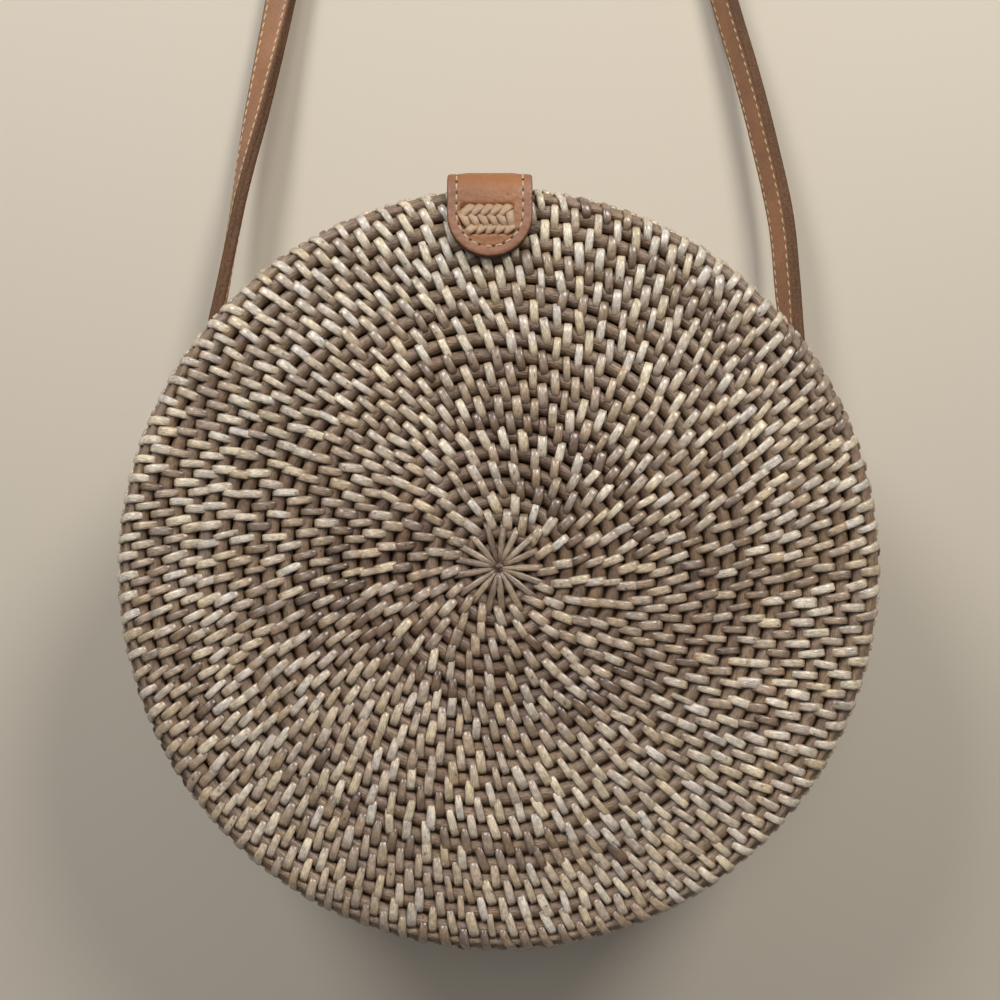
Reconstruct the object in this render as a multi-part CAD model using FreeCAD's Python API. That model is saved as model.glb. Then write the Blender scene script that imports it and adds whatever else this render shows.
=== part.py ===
import FreeCAD
import Part
import math
import os

# Round coiled cane bag in millimetres, lying on its back: two hinged dish halves, a leather
# closing tab and a leather shoulder strap. The origin is the centre of the back face, in the
# plane that the bag rests on. +Z points out of the front, +Y points towards the closing tab.

# Whole bag
bag_diameter = 205.0
bag_depth = 80.0
shell_thickness = 5.0
face_edge_radius = 4.0
face_edge_limit_share = 0.9
rim_coil_diameter = 5.0
rim_seat_depth = 0.8
parting_gap = 0.4
cut_overrun = 3.0

# Rows of the cane coil, which show as ridges on the front face and on the walls. Each pair of shares
# is a place across the groove between two rows, in row pitches, and how deep the groove is there.
coil_row_pitch = 4.3
coil_groove_depth = 1.5
coil_centre_radius = 1.2
coil_groove_shares = ((-0.32, 0), (-0.14, 0.4), (0, 1), (0.14, 0.4), (0.32, 0))
coil_flank_share = 0.32
coil_channel_margin = 0.25

# Cloth lining of each half
lining_thickness = 0.8
lining_gap = 0.2
lining_rim_margin = 1.5

# Cane lashings that hinge the halves together at the bottom
hinge_gap = 0.2
lashing_spacing = 28.0
lashing_radius = 6.2
lashing_cane_diameter = 1.3
lashing_pitch = 1.9
lashing_turns = 5
lashing_clearance = 0.3

# Closing tab: two sewn leather layers over the top edge, a braided inlay, and a tail on the back half
tab_width = 22.5
tab_offset = -2.4
tab_reach = 20.6
tab_gap = 0.3
tab_outer_thickness = 1.4
tab_inner_thickness = 1.2
tab_fold_above_parting = 12.0
tab_fold_gap = 0.2
tail_length = 38.0
braid_width = 8.3
braid_end_margin = 1.25
braid_seam_margin = 0.6
braid_thickness = 1.4
braid_clearance = 0.25
braid_from_rim = 10.9

# Cream thread of the tab
stitch_length = 1.8
stitch_width = 0.55
stitch_height = 0.3
stitch_pitch = 2.6
stitch_inset = 2.5

# Rivets and washers
shank_clearance = 0.1
washer_clearance = 0.1
tab_rivet_spacing = 8.0
tab_rivet_from_rim = 11.9
tab_rivet_head_diameter = 4.6
tab_rivet_head_height = 0.6
tab_rivet_shank_diameter = 2.4
tab_washer_diameter = 5.5
tab_washer_thickness = 0.8
tab_rivet_end_diameter = 3.4
tab_rivet_end_height = 0.6
strap_rivet_head_diameter = 8.0
strap_rivet_head_height = 1.4
strap_rivet_shank_diameter = 3.2
strap_washer_diameter = 9.0
strap_washer_thickness = 1.0
strap_rivet_end_diameter = 4.6
strap_rivet_end_height = 0.8

# Flat magnetic button that holds the tail
button_diameter = 12.0
button_clearance = 0.15
keeper_thickness = 1.6
keeper_sink = 0.2
keeper_post_diameter = 3.0
keeper_washer_diameter = 9.0
keeper_washer_thickness = 0.8
keeper_end_diameter = 4.2
keeper_end_height = 0.6

# Shoulder strap, on edge, riveted flat to the sides of the back half
strap_width = 10.0
strap_thickness = 4.0
strap_wall_gap = 0.3
strap_anchor_angle = 11.0
strap_anchor_height = 20.0
strap_end_length = 10.0
strap_lead_length = 52.0

# Route of the strap in plan, as chosen points, and the moves of its rolled-up middle
strap_left_middle = (-82.2, 132.0)
strap_left_meet = (-66.6, 205.0)
strap_right_middle = (89.6, 121.0)
strap_right_run_length = 44.0
roll_lead_in = 88.0
roll_radius = 50.0
roll_pitch = 10.0
roll_exit_run = 27.5
roll_exit_radius = 40.0
roll_exit_turn = 75.0
roll_lead_out = 2.0
route_arc_share = 0.45
steps_per_move = 60

# Tie round the rolled-up strap
tie_thickness = 0.8
tie_width = 8.0
tie_clearance = 0.4
tie_floor_gap = 0.2

# Values worked out from the sizes above
Vector = FreeCAD.Vector
x_axis = Vector(1, 0, 0)
z_axis = Vector(0, 0, 1)
bag_radius = bag_diameter / 2
half_depth = bag_depth / 2
wall_inner_radius = bag_radius - shell_thickness
rim_coil_radius = rim_coil_diameter / 2
rim_top = half_depth - parting_gap / 2
wall_top = rim_top - rim_coil_diameter + rim_seat_depth
edge_radius = min(face_edge_radius, face_edge_limit_share * shell_thickness)
lining_outer_radius = wall_inner_radius - lining_gap
lining_inner_radius = lining_outer_radius - lining_thickness
lining_top = wall_top - lining_rim_margin
lining_floor = shell_thickness + lining_thickness
hinge_y = -bag_radius - hinge_gap
tab_inner_face = tab_gap
tab_seam_face = tab_inner_face + tab_inner_thickness
tab_outer_face = tab_seam_face + tab_outer_thickness
tab_tip_y = bag_radius - tab_reach
tab_round_y = tab_tip_y + tab_width / 2
tab_left_x = tab_offset - tab_width / 2
fold_z = half_depth + tab_fold_above_parting
tail_top = fold_z - tab_fold_gap / 2
tail_round_z = fold_z - tail_length + tab_width / 2
braid_y = bag_radius - braid_from_rim
braid_length = tab_width - 2 * (stitch_inset + braid_end_margin)
braid_round_radius = tab_width / 2 - stitch_inset - braid_seam_margin
tab_rivet_y = bag_radius - tab_rivet_from_rim
strap_floor_gap = tie_floor_gap + tie_thickness + tie_clearance


def save(shape, name):
    """Writes one node."""
    shape.exportStep("parts/" + name + ".step")


def across_parting(shape):
    """The same shape in the other half of the bag."""
    return shape.mirror(Vector(0, 0, half_depth), z_axis)


def rod(base, axis, diameter, length):
    """A round bar from base along axis."""
    return Part.makeCylinder(diameter / 2, length, base, axis)


def washer(base, axis, outer_diameter, inner_diameter, thickness):
    """A flat ring from base along axis, with a hole right through."""
    hole = rod(base - axis * cut_overrun, axis, inner_diameter, thickness + 2 * cut_overrun)
    return rod(base, axis, outer_diameter, thickness).cut(hole)


def rivet(face, inward, grip, head_diameter, head_height, shank_diameter, end_diameter, end_height):
    """A rivet: its head stands on face, its shank runs inward for grip, its end is spread over the washer."""
    head = rod(face - inward * head_height, inward, head_diameter, head_height)
    shank = rod(face, inward, shank_diameter, grip)
    end = rod(face + inward * grip, inward, end_diameter, end_height)
    return head.fuse([shank, end]).removeSplitter()


def shank_hole(face, inward, grip, shank_diameter):
    """The clearance hole of a rivet."""
    diameter = shank_diameter + 2 * shank_clearance
    return rod(face - inward * cut_overrun, inward, diameter, grip + 2 * cut_overrun)


def flat_on_round(radius, half_width):
    """How far from the centre a flat face of that half width can stand inside a round wall."""
    return math.sqrt(radius ** 2 - half_width ** 2)


def coil_rows(start, heading, inward, pitch, count):
    """Profile points of coil rows from the middle of the first groove up to the crest past the last one."""
    points = []
    for number in range(count + 1):
        for place_share, depth_share in coil_groove_shares:
            if number > 0 or place_share >= 0:
                crest = start + heading * (pitch * (number + place_share))
                points.append(crest + inward * (coil_groove_depth * depth_share))
    return points


def turned(points, arcs):
    """A solid turned about the Z axis from a closed profile of arcs and of lines through points."""
    lines = [Part.makeLine(first, second) for first, second in zip(points, points[1:])]
    wire = Part.Wire(Part.sortEdges(arcs + lines)[0])
    return Part.Face(wire).revolve(Vector(0, 0, 0), z_axis, 360)


# Flat face disc of the back half, with a rounded edge, which the bag rests on
face_disc = Part.makeCylinder(bag_radius, shell_thickness)
rims = [edge for edge in face_disc.Edges if edge.Closed]
outer_edges = [edge for edge in rims if edge.CenterOfMass.z < shell_thickness / 2]
face_disc = face_disc.makeFillet(edge_radius, outer_edges)

# Coiled face disc: whole rows from the middle out, then a half row that runs on into the rounded edge
flat_radius = bag_radius - edge_radius
face_row_room = flat_radius - coil_centre_radius
face_row_count = round(face_row_room / coil_row_pitch - 0.5)
face_row_pitch = face_row_room / (face_row_count + 0.5)
face_rows = coil_rows(Vector(coil_centre_radius, 0, 0), x_axis, z_axis, face_row_pitch, face_row_count)
edge_crest = Vector(flat_radius, 0, 0)
edge_side = Vector(bag_radius, 0, edge_radius)
edge_slant = edge_radius * math.cos(math.pi / 4)
edge_place = Vector(flat_radius + edge_slant, 0, edge_radius - edge_slant)
face_back = [edge_side, Vector(bag_radius, 0, shell_thickness), Vector(0, 0, shell_thickness)]
face_points = face_back + [Vector(0, 0, coil_groove_depth)] + face_rows + [edge_crest]
coiled_disc = turned(face_points, [Part.Arc(edge_crest, edge_place, edge_side).toShape()])

# Wall ring of coil rows, plain near the rim where the lashings pass, and the rim coil on it
channel_reach = lashing_radius + lashing_cane_diameter / 2 + lashing_clearance
wall_row_room = half_depth - channel_reach - coil_channel_margin - shell_thickness
wall_row_count = round(wall_row_room / coil_row_pitch - coil_flank_share)
wall_row_pitch = wall_row_room / (wall_row_count + coil_flank_share)
wall_rows = coil_rows(Vector(bag_radius, 0, shell_thickness), z_axis, -x_axis, wall_row_pitch, wall_row_count)
wall_inside = [
    Vector(bag_radius, 0, wall_top),
    Vector(wall_inner_radius, 0, wall_top),
    Vector(wall_inner_radius, 0, shell_thickness),
]
wall_ring = turned(wall_rows + wall_inside + wall_rows[:1], [])
rim_coil = Part.makeTorus(bag_radius - rim_coil_radius, rim_coil_radius)
rim_coil.translate(Vector(0, 0, rim_top - rim_coil_radius))
rim_coil = rim_coil.cut(Part.makeCylinder(bag_diameter, wall_top))

# Cloth lining of one half: a thin dish on the face and inside the wall
lining_height = lining_top - shell_thickness
lining_dish = Part.makeCylinder(lining_outer_radius, lining_height, Vector(0, 0, shell_thickness))
lining_hollow = Part.makeCylinder(lining_inner_radius, bag_depth, Vector(0, 0, lining_floor))
lining_dish = lining_dish.cut(lining_hollow)

# Lashing hinge: a winding of round cane about the hinge line, in a ring-shaped channel through both rims
lashing_length = lashing_turns * lashing_pitch


def lashing(middle_x):
    """One unbroken cane winding about the hinge line, of half-turn arcs that each advance half a pitch."""
    edges = []
    start_x = middle_x - lashing_length / 2
    for half_turn in range(2 * lashing_turns):
        side = 1 if half_turn % 2 == 0 else -1
        places = []
        for quarter in range(3):
            turn = math.pi * (half_turn + quarter / 2)
            x = start_x + lashing_pitch * (half_turn / 2 + quarter / 4)
            y = hinge_y + lashing_radius * math.cos(turn)
            z = half_depth - side * lashing_radius * abs(math.sin(turn))
            places.append(Vector(x, y, z))
        edges.append(Part.Arc(*places).toShape())
    path = Part.Wire(edges)
    start = edges[0].firstVertex().Point
    heading = edges[0].tangentAt(edges[0].FirstParameter)
    ring = Part.Wire(Part.makeCircle(lashing_cane_diameter / 2, start, heading))
    shape = path.makePipeShell([ring], True, False)
    print("lashing volume over section times length",
          shape.Volume / (math.pi * lashing_cane_diameter ** 2 / 4 * path.Length))
    print("lashing gap between turns", lashing_pitch - lashing_cane_diameter)
    return shape


def lashing_channel(middle_x):
    """The ring-shaped room that a lashing turns in."""
    reach = lashing_cane_diameter / 2 + lashing_clearance
    length = lashing_length + 2 * reach
    base = Vector(middle_x - length / 2, hinge_y, half_depth)
    return washer(base, x_axis, 2 * (lashing_radius + reach), 2 * (lashing_radius - reach), length)


lashing_left = lashing(-lashing_spacing / 2)
lashing_right = lashing(lashing_spacing / 2)
channels = [lashing_channel(-lashing_spacing / 2), lashing_channel(lashing_spacing / 2)]

# Strap anchors: a rivet through the strap, the wall and the lining on each side
strap_middle_radius = bag_radius + strap_wall_gap + strap_thickness / 2
roll_middle_z = strap_floor_gap + strap_width / 2
anchor_angle = math.radians(strap_anchor_angle)
anchor_x = strap_middle_radius * math.cos(anchor_angle)
anchor_y = strap_middle_radius * math.sin(anchor_angle)


def heading_between(first, second):
    """The direction from one plan point to another, in radians."""
    return math.atan2(second[1] - first[1], second[0] - first[0])


def along(point, heading, length):
    """A plan point moved along a heading."""
    return (point[0] + length * math.cos(heading), point[1] + length * math.sin(heading))


def route_moves(points):
    """Straight runs and the largest tangent arcs that a route of plan points takes."""
    lengths = [math.dist(points[i], points[i + 1]) for i in range(len(points) - 1)]
    headings = [heading_between(points[i], points[i + 1]) for i in range(len(points) - 1)]
    moves = []
    used = 0
    for i in range(len(lengths) - 1):
        turn = (headings[i + 1] - headings[i] + math.pi) % (2 * math.pi) - math.pi
        tangent = route_arc_share * min(lengths[i], lengths[i + 1])
        radius = tangent / math.tan(abs(turn) / 2)
        moves.append(("forward", lengths[i] - used - tangent))
        moves.append(("turn", radius, turn))
        print("strap arc radius", round(radius, 1), "turn", round(math.degrees(turn), 2))
        used = tangent
    moves.append(("forward", lengths[-1] - used))
    return moves


def band(start, heading, moves):
    """A strap on edge along the moves: its solid, end point, end heading, middle line and length."""
    sides = {1: [], -1: []}
    point = start
    middle = []
    total = 0
    for move in moves:
        walked = total
        begin = point
        begin_heading = heading
        if move[0] == "forward":
            point = along(begin, heading, move[1])
            total += move[1]
        else:
            radius = move[1]
            hand = math.copysign(1, move[2])
            centre = along(begin, heading + hand * math.pi / 2, radius)
            heading = heading + move[2]
            point = along(centre, heading - hand * math.pi / 2, radius)
            total += radius * abs(move[2])
        for side in sides:
            offset = strap_thickness / 2
            first = along(begin, begin_heading + side * math.pi / 2, offset)
            last = along(point, heading + side * math.pi / 2, offset)
            if move[0] == "forward":
                sides[side].append(Part.makeLine(Vector(*first), Vector(*last)))
            else:
                half_way = begin_heading + move[2] / 2
                crest = along(centre, half_way - hand * math.pi / 2, radius - hand * side * offset)
                sides[side].append(Part.Arc(Vector(*first), Vector(*crest), Vector(*last)).toShape())
        for step in range(steps_per_move):
            if move[0] == "forward":
                reach = move[1] * step / steps_per_move
                place = along(begin, begin_heading, reach)
            else:
                part_way = begin_heading + move[2] * step / steps_per_move
                reach = radius * abs(move[2]) * step / steps_per_move
                place = along(centre, part_way - hand * math.pi / 2, radius)
            middle.append((walked + reach, place))
    left_ends = [sides[1][0].firstVertex().Point, sides[1][-1].lastVertex().Point]
    right_ends = [sides[-1][0].firstVertex().Point, sides[-1][-1].lastVertex().Point]
    end_cap = Part.makeLine(left_ends[1], right_ends[1])
    start_cap = Part.makeLine(right_ends[0], left_ends[0])
    wire = Part.Wire(Part.sortEdges(sides[1] + [end_cap] + sides[-1] + [start_cap])[0])
    solid = Part.Face(wire).extrude(Vector(0, 0, strap_width))
    print("strap stretch length", round(total, 1), "volume over section times length",
          round(solid.Volume / (total * strap_thickness * strap_width), 5))
    return solid, point, heading, middle, total


def sloped_run(points):
    """A strap run from the roll up to the anchor: its solid, its tilt and its length."""
    meet = points[0]
    rise = strap_anchor_height - roll_middle_z
    fall = meet[1] - anchor_y
    tilt = math.atan2(rise, fall)
    flat = [(p[0], meet[1] + (p[1] - meet[1]) / math.cos(tilt)) for p in points]
    heading = heading_between(flat[0], flat[1])
    before = along(flat[0], heading, -cut_overrun)
    solid, _, _, _, total = band(before, heading, route_moves([before] + flat[1:]))
    pivot = Vector(meet[0], meet[1], roll_middle_z)
    solid.translate(Vector(0, 0, roll_middle_z - strap_width / 2))
    solid.rotate(pivot, x_axis, -math.degrees(tilt))
    plan_heading = heading_between(points[0], points[1])
    beyond = Part.makeBox(strap_width, 2 * strap_width, 2 * strap_width)
    beyond.translate(Vector(-strap_width, -strap_width, -strap_width))
    beyond.rotate(Vector(0, 0, 0), z_axis, math.degrees(plan_heading))
    beyond.translate(pivot)
    return solid.cut(beyond), tilt, total - cut_overrun


def anchor(side, tilt):
    """The middle of the strap at its rivet and the rivet's inward direction."""
    middle = Vector(side * anchor_x, anchor_y, strap_anchor_height)
    outward = Vector(side * math.cos(anchor_angle), math.sin(anchor_angle), 0)
    turned = FreeCAD.Rotation(x_axis, -math.degrees(tilt)).multVec(outward)
    return middle, turned * -1


def anchor_heading(side):
    """The plan direction of the strap where it lies flat on the wall, going up."""
    return math.pi / 2 + side * anchor_angle


# Left run, rolled-up middle and right run of the strap
left_rivet_point = (-anchor_x, anchor_y)
left_points = [
    strap_left_meet,
    strap_left_middle,
    along(left_rivet_point, anchor_heading(-1), strap_lead_length),
    along(left_rivet_point, anchor_heading(-1), -strap_end_length),
]
left_run, left_tilt, left_length = sloped_run(left_points)
roll_heading = heading_between(strap_left_middle, strap_left_meet)
inner_radius = roll_radius - roll_pitch / 2
core_radius = (inner_radius - roll_pitch / 4) / 2
last_turn = math.pi - roll_heading
roll_moves = [
    ("forward", roll_lead_in),
    ("turn", roll_radius, -math.pi),
    ("turn", inner_radius, -math.pi),
    ("turn", core_radius, -math.pi),
    ("turn", core_radius, math.pi),
    ("turn", inner_radius, math.pi),
    ("turn", roll_radius, last_turn),
    ("forward", roll_exit_run),
    ("turn", roll_exit_radius, -math.radians(roll_exit_turn)),
    ("forward", roll_lead_out),
]
roll, right_meet, right_heading, roll_middle, roll_length = band(strap_left_meet, roll_heading, roll_moves)
roll.translate(Vector(0, 0, strap_floor_gap))
right_rivet_point = (anchor_x, anchor_y)
right_points = [
    right_meet,
    along(right_meet, right_heading, strap_right_run_length),
    strap_right_middle,
    along(right_rivet_point, anchor_heading(1), strap_lead_length),
    along(right_rivet_point, anchor_heading(1), -strap_end_length),
]
right_run, right_tilt, right_length = sloped_run(right_points)
least = min(
    math.dist(first[1], second[1])
    for first in roll_middle
    for second in roll_middle
    if first[0] - second[0] > math.pi * core_radius
)
print("strap roll's least gap to itself", round(least - strap_thickness, 2))
print("strap length end to end", round(left_length + roll_length + right_length, 1))
print("right run meets the roll at", [round(v, 1) for v in right_meet])

# Tie round the two layers of the roll that lie furthest from the bag
roll_start = along(strap_left_meet, roll_heading, roll_lead_in)
roll_centre = along(roll_start, roll_heading - math.pi / 2, roll_radius)
tie_inside_y = inner_radius - strap_thickness / 2 - tie_clearance
tie_outside_y = roll_radius + strap_thickness / 2 + tie_clearance
tie_depth = tie_outside_y - tie_inside_y
tie_height = strap_width + 2 * tie_clearance
tie_hole = Part.makeBox(tie_width + 2 * cut_overrun, tie_depth, tie_height)
tie_hole.translate(Vector(-cut_overrun, 0, 0))
tie = Part.makeBox(tie_width, tie_depth + 2 * tie_thickness, tie_height + 2 * tie_thickness)
tie.translate(Vector(0, -tie_thickness, -tie_thickness))
tie = tie.cut(tie_hole)
tie_x = roll_centre[0] - tie_width / 2
tie.translate(Vector(tie_x, roll_centre[1] + tie_inside_y, strap_floor_gap - tie_clearance))

# Strap rivets and their washers inside the lining
strap_seat = flat_on_round(lining_inner_radius, strap_washer_diameter / 2) - washer_clearance
strap_grip = strap_middle_radius + strap_thickness / 2 - strap_seat + strap_washer_thickness
strap_rivets = {}
strap_washers = {}
strap_holes = []
for side, tilt in ((-1, left_tilt), (1, right_tilt)):
    middle, inward = anchor(side, tilt)
    face = middle - inward * (strap_thickness / 2)
    strap_rivets[side] = rivet(face, inward, strap_grip, strap_rivet_head_diameter, strap_rivet_head_height,
                               strap_rivet_shank_diameter, strap_rivet_end_diameter, strap_rivet_end_height)
    seat = face + inward * (strap_grip - strap_washer_thickness)
    hole_diameter = strap_rivet_shank_diameter + 2 * shank_clearance
    strap_washers[side] = washer(seat, inward, strap_washer_diameter, hole_diameter, strap_washer_thickness)
    strap_holes.append(shank_hole(face, inward, strap_grip, strap_rivet_shank_diameter))
left_run = left_run.cut(strap_holes[0])
right_run = right_run.cut(strap_holes[1])

# Keeper of the magnetic button: a disc let into the top wall of the back half, on a post with a washer
keeper_inward = Vector(0, -1, 0)
keeper_face_y = bag_radius - keeper_sink - abs(tab_offset) ** 2 / bag_diameter
keeper_face = Vector(tab_offset, keeper_face_y, tail_round_z)
keeper_side = abs(tab_offset) + keeper_washer_diameter / 2
keeper_seat = flat_on_round(lining_inner_radius, keeper_side) - washer_clearance
keeper_grip = keeper_face_y - keeper_seat + keeper_washer_thickness
keeper_disc = rod(keeper_face, keeper_inward, button_diameter, keeper_thickness)
keeper_post = rod(keeper_face, keeper_inward, keeper_post_diameter, keeper_grip)
keeper_end_base = keeper_face + keeper_inward * keeper_grip
keeper_end = rod(keeper_end_base, keeper_inward, keeper_end_diameter, keeper_end_height)
keeper_plate = keeper_disc.fuse([keeper_post, keeper_end]).removeSplitter()
keeper_washer_base = keeper_end_base - keeper_inward * keeper_washer_thickness
keeper_washer = washer(keeper_washer_base, keeper_inward, keeper_washer_diameter,
                       keeper_post_diameter + 2 * shank_clearance, keeper_washer_thickness)
keeper_pocket = rod(keeper_face - keeper_inward * cut_overrun, keeper_inward,
                    button_diameter + 2 * button_clearance, keeper_thickness + cut_overrun)
keeper_hole = shank_hole(keeper_face, keeper_inward, keeper_grip, keeper_post_diameter)

# Tab on the front half: two leather layers bent over the rounded edge, with a round tip on the face


def tab_layer(inner_face, outer_face):
    """One leather layer from the tip over the edge to the fold, between two distances from the shell."""
    arc_y = bag_radius - edge_radius
    arc_z = bag_depth - edge_radius
    lower_end = fold_z + tab_fold_gap / 2
    slant = math.cos(math.pi / 4)
    edges = []
    corners = []
    for distance in (inner_face, outer_face):
        radius = edge_radius + distance
        flat_tip = Vector(tab_left_x, tab_tip_y, bag_depth + distance)
        flat_end = Vector(tab_left_x, arc_y, bag_depth + distance)
        crest = Vector(tab_left_x, arc_y + radius * slant, arc_z + radius * slant)
        wall_start = Vector(tab_left_x, bag_radius + distance, arc_z)
        wall_end = Vector(tab_left_x, bag_radius + distance, lower_end)
        edges.append(Part.makeLine(flat_tip, flat_end))
        edges.append(Part.Arc(flat_end, crest, wall_start).toShape())
        edges.append(Part.makeLine(wall_start, wall_end))
        corners.append((flat_tip, wall_end))
    edges.append(Part.makeLine(corners[0][0], corners[1][0]))
    edges.append(Part.makeLine(corners[0][1], corners[1][1]))
    profile = Part.Face(Part.Wire(Part.sortEdges(edges)[0]))
    layer = profile.extrude(Vector(tab_width, 0, 0))
    outline_height = bag_depth - fold_z + outer_face + cut_overrun
    straight = Part.makeBox(tab_width, tab_reach + outer_face + cut_overrun, outline_height)
    straight.translate(Vector(tab_left_x, tab_round_y, fold_z))
    tip = Part.makeCylinder(tab_width / 2, outline_height, Vector(tab_offset, tab_round_y, fold_z))
    return layer.common(straight.fuse(tip).removeSplitter())


tab_inner = tab_layer(tab_inner_face, tab_seam_face)
tab_outer = tab_layer(tab_seam_face, tab_outer_face)


def braid_outline(margin, base, height):
    """The braid's outline from base up, grown by a margin: a box that is rounded to stay within the seam."""
    length = braid_length + 2 * margin
    width = braid_width + 2 * margin
    box = Part.makeBox(length, width, height)
    box.translate(Vector(tab_offset - length / 2, braid_y - width / 2, base))
    round_centre = Vector(tab_offset, tab_round_y, base)
    return box.common(Part.makeCylinder(braid_round_radius + margin, height, round_centre))


opening_base = bag_depth + tab_seam_face - cut_overrun
tab_outer = tab_outer.cut(braid_outline(braid_clearance, opening_base, tab_outer_thickness + 2 * cut_overrun))
braid = braid_outline(0, bag_depth + tab_seam_face + tab_rivet_head_height, braid_thickness)

# Rivets under the braid hold the tab to the front face, with washers inside the lining
tab_inward = Vector(0, 0, -1)
tab_seat_z = bag_depth - lining_floor
tab_grip = bag_depth + tab_seam_face - tab_seat_z + tab_washer_thickness
tab_rivet_list = []
tab_washer_list = []
tab_holes = []
for side in (-1, 1):
    face = Vector(tab_offset + side * tab_rivet_spacing / 2, tab_rivet_y, bag_depth + tab_seam_face)
    tab_rivet_list.append(rivet(face, tab_inward, tab_grip, tab_rivet_head_diameter, tab_rivet_head_height,
                                tab_rivet_shank_diameter, tab_rivet_end_diameter, tab_rivet_end_height))
    seat = face + tab_inward * (tab_grip - tab_washer_thickness)
    hole_diameter = tab_rivet_shank_diameter + 2 * shank_clearance
    tab_washer_list.append(washer(seat, tab_inward, tab_washer_diameter, hole_diameter, tab_washer_thickness))
    tab_holes.append(shank_hole(face, tab_inward, tab_grip, tab_rivet_shank_diameter))
tab_inner = tab_inner.cut(tab_holes)

# Tail below the fold: two flat leather layers with a round end, and the magnet let into the inner one


def tail_layer(inner_face, outer_face):
    """One flat leather layer of the tail, between two distances from the shell."""
    base_y = bag_radius + inner_face
    thickness = outer_face - inner_face
    straight = Part.makeBox(tab_width, thickness, tail_top - tail_round_z)
    straight.translate(Vector(tab_left_x, base_y, tail_round_z))
    end = rod(Vector(tab_offset, base_y, tail_round_z), Vector(0, 1, 0), tab_width, thickness)
    return straight.fuse(end).removeSplitter()


magnet_base = Vector(tab_offset, bag_radius + tab_inner_face, tail_round_z)
magnet = rod(magnet_base, Vector(0, 1, 0), button_diameter, tab_inner_thickness)
magnet_room_base = magnet_base - Vector(0, cut_overrun, 0)
magnet_room_length = tab_inner_thickness + 2 * cut_overrun
magnet_room_diameter = button_diameter + 2 * button_clearance
magnet_room = rod(magnet_room_base, Vector(0, 1, 0), magnet_room_diameter, magnet_room_length)
tail_inner = tail_layer(tab_inner_face, tab_seam_face).cut(magnet_room)
tail_outer = tail_layer(tab_seam_face, tab_outer_face)

# Thread: one bar for each stitch, along the two sides and round the tip


def stitches(straight_length):
    """Stitch bars on a flat U about the origin: the sides run up +Y and the round tip points down -Y."""
    line_radius = tab_width / 2 - stitch_inset
    bars = []
    side_count = int(straight_length / stitch_pitch)
    for number in range(side_count):
        for side in (-1, 1):
            bars.append((side * line_radius, stitch_pitch * (number + 0.5), math.pi / 2))
    round_count = int(math.pi * line_radius / stitch_pitch)
    for number in range(round_count):
        turn = math.pi * (number + 0.5) / round_count
        bars.append((line_radius * math.cos(turn), -line_radius * math.sin(turn), math.pi / 2 - turn))
    shapes = []
    for x, y, turn in bars:
        bar = Part.makeBox(stitch_length, stitch_width, stitch_height)
        bar.translate(Vector(-stitch_length / 2, -stitch_width / 2, 0))
        bar.rotate(Vector(0, 0, 0), z_axis, math.degrees(turn))
        bar.translate(Vector(x, y, 0))
        shapes.append(bar)
    return Part.makeCompound(shapes)


tab_stitching = stitches(bag_radius - edge_radius - tab_round_y)
tab_stitching.translate(Vector(tab_offset, tab_round_y, bag_depth + tab_outer_face))
tail_stitching = stitches(tail_top - tail_round_z - stitch_inset)
tail_stitching.rotate(Vector(0, 0, 0), x_axis, 90)
tail_stitching.rotate(Vector(0, 0, 0), z_axis, 180)
tail_stitching.translate(Vector(tab_offset, bag_radius + tab_outer_face, tail_round_z))

# Finished halves, with their channels, pockets and holes
front_face = across_parting(coiled_disc).cut(tab_holes)
front_lining = across_parting(lining_dish).cut(channels + tab_holes)
back_wall = wall_ring.cut(channels + strap_holes + [keeper_pocket, keeper_hole])
back_lining = lining_dish.cut(channels + strap_holes + [keeper_hole])
nodes = {
    "back_face": face_disc,
    "back_wall": back_wall,
    "back_rim_coil": rim_coil.cut(channels),
    "back_lining": back_lining,
    "hinge_lashing_left": lashing_left,
    "hinge_lashing_right": lashing_right,
    "keeper_plate": keeper_plate,
    "keeper_washer": keeper_washer,
    "strap_left_run": left_run,
    "strap_right_run": right_run,
    "strap_roll": roll,
    "strap_tie": tie,
    "strap_rivet_left": strap_rivets[-1],
    "strap_rivet_right": strap_rivets[1],
    "strap_washer_left": strap_washers[-1],
    "strap_washer_right": strap_washers[1],
    "front_face": front_face,
    "front_wall": across_parting(wall_ring).cut(channels),
    "front_rim_coil": across_parting(rim_coil).cut(channels),
    "front_lining": front_lining,
    "tab_outer_leather": tab_outer,
    "tab_inner_leather": tab_inner,
    "tab_braid": braid,
    "tab_rivets": Part.makeCompound(tab_rivet_list),
    "tab_washers": Part.makeCompound(tab_washer_list),
    "tab_stitching": tab_stitching,
    "tail_outer_leather": tail_outer,
    "tail_inner_leather": tail_inner,
    "tail_magnet": magnet,
    "tail_stitching": tail_stitching,
}
os.makedirs("parts", exist_ok=True)
for name, shape in nodes.items():
    save(shape, name)
    if not shape.isValid() or len(shape.Solids) == 0:
        print("not a valid solid:", name)
    print(name, len(shape.Solids), round(shape.Volume, 1))
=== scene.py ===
import math

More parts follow.
